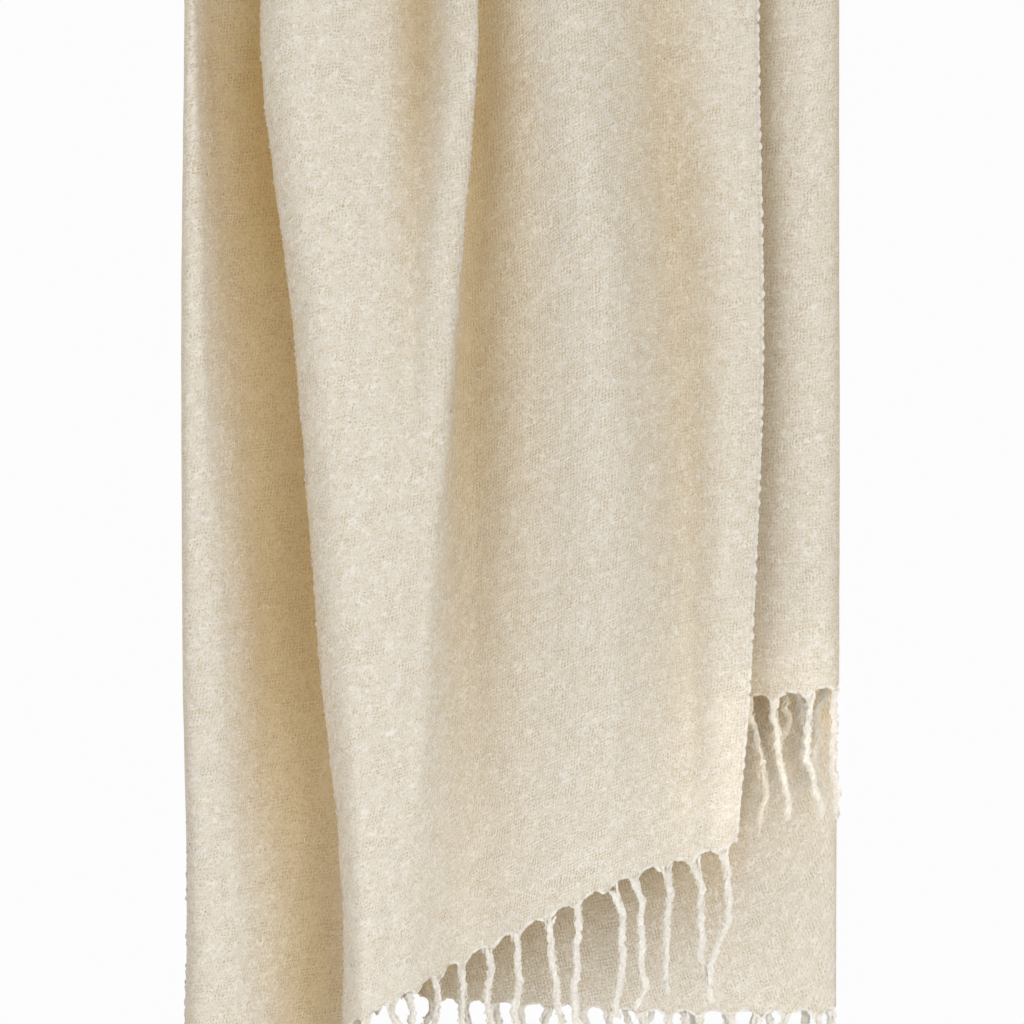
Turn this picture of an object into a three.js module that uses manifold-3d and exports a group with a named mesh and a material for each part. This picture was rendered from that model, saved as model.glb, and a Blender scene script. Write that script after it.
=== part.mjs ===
// A boucle throw hanging over a rail: one woven cloth with a knotted-yarn fringe at each end.
// Millimetres, +Z up, the front faces -Y. The origin is where the cloth rests on top of the rail.
// The cloth is folded in three across its width, so three layers hang on each side of the rail:
// the pleated outer panel, a middle layer behind it and an inner layer against the rail.
import * as THREE from "three";
import { mergeVertices } from "three/addons/utils/BufferGeometryUtils.js";
import Module from "manifold-3d";

const wasm = await Module();
wasm.setup();

// Driving dimensions
const CLOTH_THICKNESS = 4; // a lofty boucle weave
const RAIL_CLEAR_RADIUS = 17; // bare space under the bend of the innermost layer
const SEAM_GAP = 0.5; // between the cloth and its fringe
const SPINE_HEIGHT = 5; // band of yarn knots along the hem
const STRING_COUNT = 62; // twisted strings along each hem
const SPINE_THICKNESS = 5.2;
const STRING_RADIUS = 2.5;
const STRING_LENGTH = 90;
const STRING_SIDES = 4;
const STRING_ROOT = 1.5; // how far a string reaches up into the band of knots

const BEND_CENTRE_Z = -RAIL_CLEAR_RADIUS;
const INNER = RAIL_CLEAR_RADIUS + CLOTH_THICKNESS / 2; // middle of the innermost layer
const BEND_LENGTH = 60; // nominal way over the rail, between the two straight drops

// Grid over the cloth
const ROWS_FRONT = 11;
const ROWS_BEND = 7;
const ROWS_BACK = 8;
const ROWS = ROWS_FRONT + ROWS_BEND + ROWS_BACK;

// The ways from the rail at which a fold's line is given: three on the front drop below the first,
// one over the rail and two on the back drop. Negative is the front drop, from the bend downwards.
const STATIONS = [-738, -513, -289, -65, BEND_LENGTH / 2, 120, 560];

// The outer panel, from its selvedge to the fold at the left border. For each fold line:
// x across the front at four heights from the top down, its distance out from the rail's middle
// at the same heights, that distance over the rail, x and distance on the back,
// how far the cloth hangs below the origin in front and behind, and the steps to the next line.
const PANEL = [
  ["selvedge", [168, 171, 163, 148], [47, 50, 51, 51], 40, 160, 40, 660, 612, 1],
  ["selvedge_slope", [141, 148, 143, 134], [50, 52, 52, 52], 40, 138, 46, 665, 606, 1],
  ["right_valley", [101, 117, 121, 119], [36, 37, 39, 48], 36, 112, 38, 671, 600, 2],
  ["right_slope", [78, 92, 94, 94], [57, 60, 60, 58], 38, 92, 40, 677, 594, 1],
  ["right_ridge", [39, 61, 62, 60], [78, 84, 78, 70], 52, 64, 56, 691, 586, 2],
  ["long_slope", [10, 16, 12, 12], [67, 64, 62, 62], 45, 38, 52, 715, 578, 2],
  ["deep_valley", [-17, -25, -26, -28], [56, 46, 42, 50], 36, 12, 38, 736, 570, 1],
  ["undercut", [-31, -37, -40, -48], [58, 53, 54, 62], 40, -2, 38, 747, 565, 1],
  ["sharp_ridge", [-24, -43, -58, -70], [84, 87, 86, 82], 58, -22, 50, 760, 559, 1],
  ["ridge_back", [-38, -54, -68, -78], [83, 88, 89, 87], 56, -36, 58, 764, 555, 1],
  ["left_valley", [-62, -68, -77, -84], [54, 79, 92, 90], 45, -56, 50, 767, 549, 1],
  ["left_slope", [-86, -86, -88, -90], [76, 88, 94, 94], 51, -76, 40, 771, 543, 1],
  ["rolled_front", [-151, -130, -113, -101], [90, 94, 95, 96], 58, -94, 38, 776, 537, 2],
  ["rolled_edge", [-170, -148, -129, -113], [68, 70, 70, 70], 50, -112, 48, 785, 531, 2],
  ["rolled_under", [-160, -139, -120, -105], [43, 43, 43, 43], 42, -126, 56, 788, 526, 2],
  ["dark_valley", [-186, -162, -141, -120], [37, 37, 37, 38], 35, -146, 52, 790, 519, 1],
  ["dark_slope", [-206, -187, -169, -149], [40, 41, 43, 46], 35, -168, 38, 793, 511, 1],
  ["border_slope", [-214, -201, -186, -168], [50, 58, 60, 60], 40, -186, 40, 796, 505, 1],
  ["border_ridge", [-218, -212, -204, -192], [60, 74, 77, 76], 44, -204, 50, 799, 498, 1],
  ["border_turn", [-221, -221, -219, -214], [58, 73, 77, 76], 43, -217, 50, 802, 494, 1],
  ["border_fold", [-222, -224, -223, -221], [46, 50, 52, 52], 37, -222, 42, 802, 492, 1],
  ["border_back", [-216, -218, -217, -215], [31, 31, 31, 31], 30, -217, 31, 800, 492, 2],
];

// The middle layer, running right behind the panel, and the inner layer, coming back left.
// For each line: x, distance out from the rail's middle in front, over it and behind,
// the drops in front and behind, and the steps to the next line.
const MIDDLE_AND_INNER = [
  ["middle_1", -170, 27, 27, 27, 770, 515, 1],
  ["middle_2", -114, 30, 28, 30, 715, 545, 1],
  ["middle_3", -56, 27, 27, 27, 655, 585, 1],
  ["middle_4", 5, 30, 28, 30, 600, 630, 1],
  ["middle_5", 67, 27, 27, 27, 570, 675, 1],
  ["middle_6", 121, 28, 27, 29, 563, 715, 1],
  ["middle_7", 167, 31, 28, 28, 560, 745, 1],
  ["middle_ridge", 206, 42, 33, 33, 556, 762, 1],
  ["right_turn", 219, 38, 32, 32, 553, 768, 1],
  ["right_fold", 223, 30, 27, 27, 551, 770, 1],
  ["right_back", 217, 22, 22, 22, 547, 771, 1],
  ["inner_1", 189, INNER, INNER, INNER, 517, 772, 1],
  ["inner_2", 141, 20.5, 20, 20.5, 492, 772, 1],
  ["inner_3", 87, INNER, INNER, INNER, 474, 771, 1],
  ["inner_4", 33, 20.5, 20, 20.5, 460, 768, 1],
  ["inner_5", -22, INNER, INNER, INNER, 450, 765, 1],
  ["inner_selvedge", -64, INNER, INNER, INNER, 445, 762, 1],
];

// Every fold line with its values at the stations, in the order from selvedge to selvedge
function foldLines() {
  const lines = [];
  for (const [name, x, out, railOut, backX, backOut, front, back, steps] of PANEL) {
    lines.push({
      name, front, back, steps,
      x: [x[3], x[2], x[1], x[0], x[0], backX, backX],
      out: [out[3], out[2], out[1], out[0], railOut, 0.5 * (railOut + backOut), backOut],
    });
  }
  for (const [name, x, out, railOut, backOut, front, back, steps] of MIDDLE_AND_INNER) {
    lines.push({
      name, front, back, steps,
      x: STATIONS.map(() => x),
      out: [out, out, out, out, railOut, backOut, backOut],
    });
  }
  return lines;
}

// Value of a fold line at a way from the rail, smooth through its stations and level beyond them
function along(values, way) {
  const last = STATIONS.length - 1;
  if (way <= STATIONS[0]) return values[0];
  if (way >= STATIONS[last]) return values[last];
  let k = 0;
  while (way > STATIONS[k + 1]) k++;
  const slope = (i) => {
    if (i === 0 || i === last) return 0;
    const before = (values[i] - values[i - 1]) / (STATIONS[i] - STATIONS[i - 1]);
    const after = (values[i + 1] - values[i]) / (STATIONS[i + 1] - STATIONS[i]);
    return before * after <= 0 ? 0 : (2 * before * after) / (before + after);
  };
  const span = STATIONS[k + 1] - STATIONS[k];
  const t = (way - STATIONS[k]) / span;
  const rise = values[k + 1] - values[k];
  const s0 = slope(k) * span;
  const s1 = slope(k + 1) * span;
  return values[k] + t * (s0 + t * (3 * rise - 2 * s0 - s1 + t * (s0 + s1 - 2 * rise)));
}

// The way from the rail of grid row j on a line: down the front, over the bend, down the back
function wayOfRow(line, j) {
  if (j <= ROWS_FRONT) return -(line.front + BEND_CENTRE_Z) * (1 - j / ROWS_FRONT);
  if (j <= ROWS_FRONT + ROWS_BEND) return (BEND_LENGTH * (j - ROWS_FRONT)) / ROWS_BEND;
  return BEND_LENGTH + ((line.back + BEND_CENTRE_Z) * (j - ROWS_FRONT - ROWS_BEND)) / ROWS_BACK;
}

function pointOnLine(line, way) {
  const x = along(line.x, way);
  const out = along(line.out, way);
  if (way <= 0) return new THREE.Vector3(x, -out, BEND_CENTRE_Z + way);
  if (way >= BEND_LENGTH) return new THREE.Vector3(x, out, BEND_CENTRE_Z - (way - BEND_LENGTH));
  const angle = (Math.PI * way) / BEND_LENGTH;
  return new THREE.Vector3(x, -out * Math.cos(angle), BEND_CENTRE_Z + out * Math.sin(angle));
}

// The cloth's middle surface as a grid of points: grid[row][column]
function middleSurface(lines) {
  const grid = [];
  for (let j = 0; j <= ROWS; j++) {
    const points = lines.map((line) => pointOnLine(line, wayOfRow(line, j)));
    const across = new THREE.CatmullRomCurve3(points, false, "centripetal");
    const row = [];
    lines.slice(0, -1).forEach((line, k) => {
      for (let s = 0; s < line.steps; s++) {
        row.push(across.getPoint((k + s / line.steps) / (lines.length - 1)));
      }
    });
    row.push(points[points.length - 1]);
    grid.push(row);
  }
  return grid;
}

function normalAt(grid, j, i) {
  const rows = grid.length - 1;
  const columns = grid[0].length - 1;
  const across = new THREE.Vector3().subVectors(
    grid[j][Math.min(i + 1, columns)], grid[j][Math.max(i - 1, 0)]);
  const up = new THREE.Vector3().subVectors(
    grid[Math.min(j + 1, rows)][i], grid[Math.max(j - 1, 0)][i]);
  return across.cross(up).normalize();
}

// A slab of one thickness on a grid of points, from a subdivided box
function slabOnGrid(grid, normals, thickness) {
  const rows = grid.length - 1;
  const columns = grid[0].length - 1;
  const box = new THREE.BoxGeometry(1, 1, 1, columns, rows, 1);
  box.deleteAttribute("normal");
  box.deleteAttribute("uv");
  const geometry = mergeVertices(box, 1e-6);
  const place = geometry.attributes.position;
  for (let n = 0; n < place.count; n++) {
    const i = Math.round((place.getX(n) + 0.5) * columns);
    const j = Math.round((place.getY(n) + 0.5) * rows);
    const p = grid[j][i].clone().addScaledVector(normals[j][i], place.getZ(n) * thickness);
    place.setXYZ(n, p.x, p.y, p.z);
  }
  return geometry;
}

// Turns every triangle over
function rightSideOut(geometry) {
  const corners = geometry.index;
  for (let n = 0; n < corners.count; n += 3) {
    const second = corners.getX(n + 1);
    corners.setX(n + 1, corners.getX(n + 2));
    corners.setX(n + 2, second);
  }
  return geometry;
}

function toSolid(geometry) {
  const plain = geometry.clone();
  plain.deleteAttribute("normal");
  plain.deleteAttribute("uv");
  const merged = mergeVertices(plain, 1e-5);
  return new wasm.Manifold(new wasm.Mesh({
    numProp: 3,
    vertProperties: new Float32Array(merged.attributes.position.array),
    triVerts: new Uint32Array(merged.index.array),
  }));
}

function toGeometry(solid) {
  const mesh = solid.getMesh();
  const geometry = new THREE.BufferGeometry();
  geometry.setAttribute("position", new THREE.BufferAttribute(mesh.vertProperties, mesh.numProp));
  geometry.setIndex(new THREE.BufferAttribute(mesh.triVerts, 1));
  return geometry;
}

// Points at even distances along a hem, half a pitch in from each end
function evenPoints(hem, count) {
  const path = new THREE.CurvePath();
  for (let i = 0; i + 1 < hem.length; i++) path.add(new THREE.LineCurve3(hem[i], hem[i + 1]));
  return Array.from({ length: count }, (_, i) => path.getPointAt((i + 0.5) / count));
}

// One comb along a hem: a spine of the cloth's thickness with a string hanging at each even step.
// The spine is a slab made upside down and turned right side out, so that its top face is split
// into the same triangles as the cloth's edge above it and runs at an even gap from it.
function fringeComb(hem, hemNormals, isFront) {
  const down = new THREE.Vector3(0, 0, -1);
  const top = hem.map((p) => p.clone().addScaledVector(down, SEAM_GAP));
  const bottom = top.map((p) => p.clone().addScaledVector(down, SPINE_HEIGHT));
  const spine = isFront ? [top, bottom] : [bottom, top];
  const slab = slabOnGrid(spine, [hemNormals, hemNormals], SPINE_THICKNESS);
  let comb = toSolid(rightSideOut(slab));
  for (const p of evenPoints(hem, STRING_COUNT)) {
    const string = new THREE.CylinderGeometry(
      STRING_RADIUS, STRING_RADIUS * 0.8, STRING_LENGTH, STRING_SIDES);
    string.rotateX(Math.PI / 2);
    const reach = SEAM_GAP + SPINE_HEIGHT - STRING_ROOT + STRING_LENGTH / 2;
    string.translate(p.x, p.y, p.z - reach);
    comb = comb.add(toSolid(string));
  }
  return toGeometry(comb);
}

function clothMaterial(name, colour) {
  const material = new THREE.MeshStandardMaterial({ color: colour, roughness: 0.95, metalness: 0 });
  material.name = name;
  return material;
}

function named(name, geometry, material) {
  const mesh = new THREE.Mesh(geometry, material);
  mesh.name = name;
  return mesh;
}

const lines = foldLines();
const surface = middleSurface(lines);
// At the hems the normals are levelled, so that the cloth's cut edge and its fringe meet squarely
const level = (n) => new THREE.Vector3(n.x, n.y, 0).normalize();
const normals = surface.map((row, j) => row.map((_, i) => {
  const normal = normalAt(surface, j, i);
  return j === 0 || j === ROWS ? level(normal) : normal;
}));

const boucle = clothMaterial("boucle", 0xe6dfce);
const yarn = clothMaterial("yarn", 0xe9e2d2);

const group = new THREE.Group();
group.add(named("cloth", slabOnGrid(surface, normals, CLOTH_THICKNESS), boucle));
group.add(named("front_fringe", fringeComb(surface[0], normals[0], true), yarn));
group.add(named("back_fringe", fringeComb(surface[ROWS], normals[ROWS], false), yarn));

export default group;
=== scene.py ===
"""A boucle throw hanging over a rail: its cloth, selvedges, boucle curls and twisted fringe.

Metres, +Z up, the front faces -Y, the origin is where the cloth rests on top of the rail.
"""
import math

import bmesh
import bpy
import numpy as np
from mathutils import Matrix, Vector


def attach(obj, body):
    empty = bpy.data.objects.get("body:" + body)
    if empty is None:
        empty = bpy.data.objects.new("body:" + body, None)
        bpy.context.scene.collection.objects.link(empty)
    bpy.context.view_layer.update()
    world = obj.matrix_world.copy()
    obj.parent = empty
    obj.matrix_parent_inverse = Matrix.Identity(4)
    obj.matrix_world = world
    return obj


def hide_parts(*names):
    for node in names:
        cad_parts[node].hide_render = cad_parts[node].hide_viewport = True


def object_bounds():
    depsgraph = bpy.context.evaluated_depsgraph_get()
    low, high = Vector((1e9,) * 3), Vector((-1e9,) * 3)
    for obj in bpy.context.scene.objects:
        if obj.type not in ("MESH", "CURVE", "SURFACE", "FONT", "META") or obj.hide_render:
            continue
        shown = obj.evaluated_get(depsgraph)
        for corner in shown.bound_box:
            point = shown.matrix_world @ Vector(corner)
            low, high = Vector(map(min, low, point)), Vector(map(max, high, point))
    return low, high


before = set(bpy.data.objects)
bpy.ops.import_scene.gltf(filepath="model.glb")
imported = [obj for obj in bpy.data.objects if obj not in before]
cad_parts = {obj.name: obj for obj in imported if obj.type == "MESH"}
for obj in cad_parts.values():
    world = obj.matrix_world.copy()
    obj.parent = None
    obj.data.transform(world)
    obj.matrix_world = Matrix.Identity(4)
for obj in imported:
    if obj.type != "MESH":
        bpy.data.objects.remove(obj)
cad_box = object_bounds()

MM = 0.001
SEED = 11
SQUARE_CM = 1e-4
UP = np.array([0, 0, 1.0])
BACKWARD = np.array([0.0, 1.0, 0.0])

# The cloth
FLAT_WIDTH = 1.33
CLOTH_THICKNESS = 3.0 * MM
RAIL_CLEAR_RADIUS = 17 * MM
BEND_CENTRE_Z = -RAIL_CLEAR_RADIUS
BEND_LENGTH = 60 * MM  # the way over the rail, from the front drop to the back drop
INNER = 19  # how far out from the rail's middle the inner layer hangs, in millimetres
INNER_DEPTH = 25 * MM  # behind the rail, only the inner layer lies in front of this
REAR_SAG = 7 * MM  # how far the rear hem hangs below the height that its fold lines give
HEM_ARCH = 5.5 * MM  # how far the hem rises between two strings

# Shares of the cloth's width, counted from the panel's selvedge
LOOSE_SHARE = 0.4  # up to here the cloth hangs loose
MIDDLE_SHARE = 0.375  # here the middle layer starts
INNER_SHARE = 0.74  # and here the inner layer

# The fringe
STRING_COUNT = 62
STRING_LENGTH = 90 * MM
STRING_PITCH = FLAT_WIDTH / STRING_COUNT
STRING_PLIES = 3
STRING_RINGS = 60
STRING_GATHER = 0.16  # the share of a string in which its yarns come together
CURLS_PER_STRING = 40
CURL_DISTANCE = 2.3 * MM  # how far the curls stand from a string's middle

# The waves in which a string hangs: how many down its length, and how wide in millimetres
STRING_WAVES = ((0.7, 2.4), (1.7, 2.0), (3.4, 1.5), (7.0, 0.6))

# How far the strings that show best swing to the right as they fall, in millimetres from the
# hem down in six equal steps, by their number along the front hem
FRONT_SWINGS = {
    0: (2, 6, 5.5, 6, -0.5, -5, -6),
    1: (2, 9, 7.5, 8, 9, 11.5, 13.5),
    2: (3.5, 5.5, 5, 3.5, 5, 3.5, 3),
    3: (0, 5, 3, 5, 5.5, 7, -2),
    4: (5, 11, 10, 11.5, 9, 6.5, 6.5),
    5: (1.5, 2, 1, 1, -1, 1.5, 1.5),
    6: (2, 3, 4, 7, 10, 12, 13),
    7: (-2.5, -1, -1, -2, -3, -3, -2),
    8: (-4, -2, -3, -1.5, 0, -1, -2),
    9: (-2, -1.5, -0.5, 0, 0, 1, 1),
    10: (-3.5, -0.5, -1, 0, 1, 0, 1),
    11: (-6, -4, -3, -2, -2, -1, 0),
    44: (2.5, 4.5, 9, 13, 15.5, 12, 9.5),
    45: (0.5, 0.5, 0.5, 2.5, 5.5, 8, 8),
    46: (2.5, 2, 0.5, 1.5, 5, 9, 11),
    47: (1, -0.5, 0, 0.5, 0.5, 0, 0),
}

# The weave
WEAVE_PITCH = 2.25 * MM

# Rows of the grid down the front drop, over the rail and down the back drop
ROWS_FRONT = 106
ROWS_BEND = 14
ROWS_BACK = 46

# The fold lines' values are given at these ways from the rail, in millimetres
STATIONS = [-738, -513, -289, -65, 30, 120, 560]

# The outer panel, from its selvedge to the fold at the left border. For each fold line, in
# millimetres: x across the front at four heights from the top down, its distance out from the
# rail's middle at the same heights, that distance over the rail, x and distance on the back,
# and how far the cloth hangs below the origin in front and behind.
PANEL = [
    ("selvedge", (168, 171, 163, 148), (47, 50, 51, 51), 40, 160, 40, 660, 612),
    ("selvedge_slope", (141, 148, 143, 134), (50, 52, 52, 52), 40, 138, 46, 665, 606),
    ("right_valley", (101, 117, 121, 119), (36, 37, 39, 48), 36, 112, 38, 671, 600),
    ("right_slope", (78, 92, 94, 94), (57, 60, 60, 58), 38, 92, 40, 677, 594),
    ("right_ridge", (39, 61, 62, 60), (78, 84, 78, 70), 52, 64, 56, 691, 586),
    ("long_slope", (10, 16, 12, 12), (67, 64, 62, 62), 45, 38, 52, 715, 578),
    ("deep_valley", (-17, -25, -26, -28), (56, 46, 42, 50), 36, 12, 38, 736, 570),
    ("undercut", (-31, -37, -40, -48), (58, 53, 54, 62), 40, -2, 38, 747, 565),
    ("sharp_ridge", (-24, -43, -58, -70), (84, 87, 86, 82), 58, -22, 50, 760, 559),
    ("ridge_back", (-38, -54, -68, -78), (83, 88, 89, 87), 56, -36, 58, 764, 555),
    ("left_valley", (-62, -68, -77, -84), (54, 79, 92, 90), 45, -56, 50, 767, 549),
    ("left_slope", (-86, -86, -88, -90), (76, 88, 94, 94), 51, -76, 40, 771, 543),
    ("rolled_front", (-151, -130, -113, -101), (90, 94, 95, 96), 58, -94, 38, 776, 537),
    ("rolled_edge", (-170, -148, -129, -113), (68, 70, 70, 70), 50, -112, 48, 785, 531),
    ("rolled_under", (-160, -139, -120, -105), (43, 43, 43, 43), 42, -126, 56, 788, 526),
    ("dark_valley", (-186, -162, -141, -120), (37, 37, 37, 38), 35, -146, 52, 790, 519),
    ("dark_slope", (-206, -187, -169, -149), (40, 41, 43, 46), 35, -168, 38, 793, 511),
    ("border_slope", (-214, -201, -186, -168), (50, 58, 60, 60), 40, -186, 40, 796, 505),
    ("border_ridge", (-218, -212, -204, -192), (60, 74, 77, 76), 44, -204, 50, 799, 498),
    ("border_turn", (-221, -221, -219, -214), (58, 73, 77, 76), 43, -217, 50, 802, 494),
    ("border_fold", (-222, -224, -223, -221), (46, 50, 52, 52), 37, -222, 42, 802, 492),
    ("border_back", (-216, -218, -217, -215), (31, 31, 31, 31), 30, -217, 31, 800, 492),
]

# The middle layer, running right behind the panel, and the inner layer, coming back left. For
# each line, in millimetres: x, distance out from the rail's middle in front, over it and behind,
# and the drops in front and behind.
MIDDLE_AND_INNER = [
    ("middle_1", -170, 27, 27, 27, 770, 515),
    ("middle_2", -114, 30, 28, 30, 715, 545),
    ("middle_3", -56, 27, 27, 27, 655, 585),
    ("middle_4", 5, 30, 28, 30, 600, 630),
    ("middle_5", 67, 27, 27, 27, 570, 675),
    ("middle_6", 121, 28, 27, 29, 563, 715),
    ("middle_7", 167, 31, 28, 28, 560, 745),
    ("middle_ridge", 206, 42, 33, 33, 556, 762),
    ("right_turn", 219, 38, 32, 32, 553, 768),
    ("right_fold", 223, 30, 27, 27, 551, 770),
    ("right_back", 217, 22, 22, 22, 547, 771),
    ("inner_1", 189, INNER, INNER, INNER, 517, 772),
    ("inner_2", 141, 20.5, 20, 20.5, 492, 772),
    ("inner_3", 87, INNER, INNER, INNER, 474, 771),
    ("inner_4", 33, 20.5, 20, 20.5, 460, 768),
    ("inner_5", -22, INNER, INNER, INNER, 450, 765),
    ("inner_selvedge", -64, INNER, INNER, INNER, 445, 762),
]

# How far apart the grid's columns lie, where the cloth shows in front and elsewhere
FINE_STEP = 3.8 * MM
COARSE_STEP = 7.0 * MM


def fold_lines():
    """Every fold line with its x and distance out at the stations, in metres."""
    lines = []
    for name, x, out, rail_out, back_x, back_out, front, back in PANEL:
        half_way = 0.5 * (rail_out + back_out)
        lines.append(dict(
            name=name,
            x=(x[3], x[2], x[1], x[0], x[0], back_x, back_x),
            out=(out[3], out[2], out[1], out[0], rail_out, half_way, back_out),
            front=front, back=back,
        ))
    for name, x, out, rail_out, back_out, front, back in MIDDLE_AND_INNER:
        lines.append(dict(
            name=name,
            x=(x,) * len(STATIONS),
            out=(out, out, out, out, rail_out, back_out, back_out),
            front=front, back=back,
        ))
    for line in lines:
        line["x"] = np.array(line["x"]) * MM
        line["out"] = np.array(line["out"]) * MM
        line["front"] *= MM
        line["back"] *= MM
    return lines


def along(values, way):
    """A fold line's value at ways from the rail, smooth through its stations, level beyond."""
    places = np.array(STATIONS) * MM
    spans = np.diff(places)
    rates = np.diff(values) / spans
    slopes = np.zeros(len(places))
    before, after = rates[:-1], rates[1:]
    steady = before * after > 0
    before, after = before[steady], after[steady]
    slopes[1:-1][steady] = 2 * before * after / (before + after)
    way = np.clip(way, places[0], places[-1])
    k = np.clip(np.searchsorted(places, way, side="right") - 1, 0, len(spans) - 1)
    t = (way - places[k]) / spans[k]
    rise = values[k + 1] - values[k]
    s0, s1 = slopes[k] * spans[k], slopes[k + 1] * spans[k]
    return values[k] + t * (s0 + t * (3 * rise - 2 * s0 - s1 + t * (s0 + s1 - 2 * rise)))


def point_on_line(line, way):
    """Points of a fold line at ways from the rail: down the front, over the bend, down the back."""
    x, out = along(line["x"], way), along(line["out"], way)
    angle = np.pi * np.clip(way / BEND_LENGTH, 0, 1)
    below = np.minimum(way, 0) - np.maximum(way - BEND_LENGTH, 0)
    return np.stack([x, -out * np.cos(angle), BEND_CENTRE_Z + out * np.sin(angle) + below], -1)


def row_ways(line):
    """The ways from the rail of the grid's rows on a line, from the front hem to the back hem."""
    front = -(line["front"] + BEND_CENTRE_Z) * (1 - hem_spacing(ROWS_FRONT))
    bend = BEND_LENGTH * np.arange(1, ROWS_BEND + 1) / ROWS_BEND
    back_share = 1 - hem_spacing(ROWS_BACK)[::-1][1:]
    back = BEND_LENGTH + (line["back"] + BEND_CENTRE_Z) * back_share
    return np.concatenate([front, bend, back])


def hem_spacing(rows):
    """Shares from 0 at the hem to 1 at the rail, with three close rows next to the hem."""
    close = np.array([0, 0.0055, 0.011, 0.017])
    return np.concatenate([close, np.linspace(close[-1], 1, rows + 2 - len(close))[1:]])


def across(points, k, shares):
    """Points between line k and the next, by a centripetal curve through the lines' points."""
    last = points.shape[1] - 1
    p1, p2 = points[:, k], points[:, k + 1]
    p0 = points[:, k - 1] if k else 2 * p1 - p2
    p3 = points[:, k + 2] if k + 2 <= last else 2 * p2 - p1

    def root(a, b):
        return np.sqrt(np.linalg.norm(a - b, axis=1))[:, None]

    d0, d1, d2 = root(p0, p1), root(p1, p2), root(p2, p3)
    t1 = (p1 - p0) / d0 - (p2 - p0) / (d0 + d1) + (p2 - p1) / d1
    t2 = (p2 - p1) / d1 - (p3 - p1) / (d1 + d2) + (p3 - p2) / d2
    t1, t2 = t1 * d1, t2 * d1
    t = shares[None, :, None]
    p1, p2, t1, t2 = (a[:, None] for a in (p1, p2, t1, t2))
    square = -3 * p1 + 3 * p2 - 2 * t1 - t2
    cube = 2 * p1 - 2 * p2 + t1 + t2
    return p1 + t * t1 + t * t * square + t ** 3 * cube


def is_fine(k, name):
    """Whether the stretch after this line shows in front, and so has close columns."""
    return k < len(PANEL) or name in ("middle_7", "middle_ridge", "right_turn", "right_fold")


def lay_out_cloth():
    """The cloth's middle surface: points[row, column]."""
    lines = fold_lines()
    points = np.stack([point_on_line(line, row_ways(line)) for line in lines], 1)
    parts = []
    for k in range(len(lines) - 1):
        width = np.linalg.norm(points[:, k + 1] - points[:, k], axis=1).mean()
        step = FINE_STEP if is_fine(k, lines[k]["name"]) else COARSE_STEP
        count = max(2, math.ceil(width / step))
        parts.append(across(points, k, np.arange(count) / count))
    parts.append(points[:, -1:])
    return np.concatenate(parts, 1)


def lengths(points, axis):
    """Running length along a grid's axis."""
    steps = np.linalg.norm(np.diff(points, axis=axis), axis=2)
    pad = [(0, 0), (0, 0)]
    pad[axis] = (1, 0)
    return np.cumsum(np.pad(steps, pad), axis=axis)


def grid_normals(points):
    """Unit normals of a grid, facing the rail on the outer panel."""
    n = np.cross(np.gradient(points, axis=1), np.gradient(points, axis=0))
    return n / np.linalg.norm(n, axis=2, keepdims=True)


def smooth_grid(values, times):
    """Evens out a grid of values with its neighbours."""
    for _ in range(times):
        for axis in (0, 1):
            first, last = np.take(values, [0], axis), np.take(values, [-1], axis)
            wide = np.concatenate([first, values, last], axis)
            count = values.shape[axis]
            before = np.take(wide, range(count), axis)
            after = np.take(wide, range(2, count + 2), axis)
            values = 0.25 * before + 0.5 * values + 0.25 * after
    return values


def soft_waves(u, v, size, count, seed):
    """Smooth unevenness, most of it within 1.5 of 0, made of waves of about one size."""
    rng = np.random.default_rng(seed)
    total = np.zeros_like(u)
    for _ in range(count):
        turn = rng.uniform(0, 2 * np.pi)
        length = size * rng.uniform(0.7, 1.5)
        phase = rng.uniform(0, 2 * np.pi)
        total += np.cos(2 * np.pi * (u * np.cos(turn) + v * np.sin(turn)) / length + phase)
    return total / math.sqrt(count)


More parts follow.
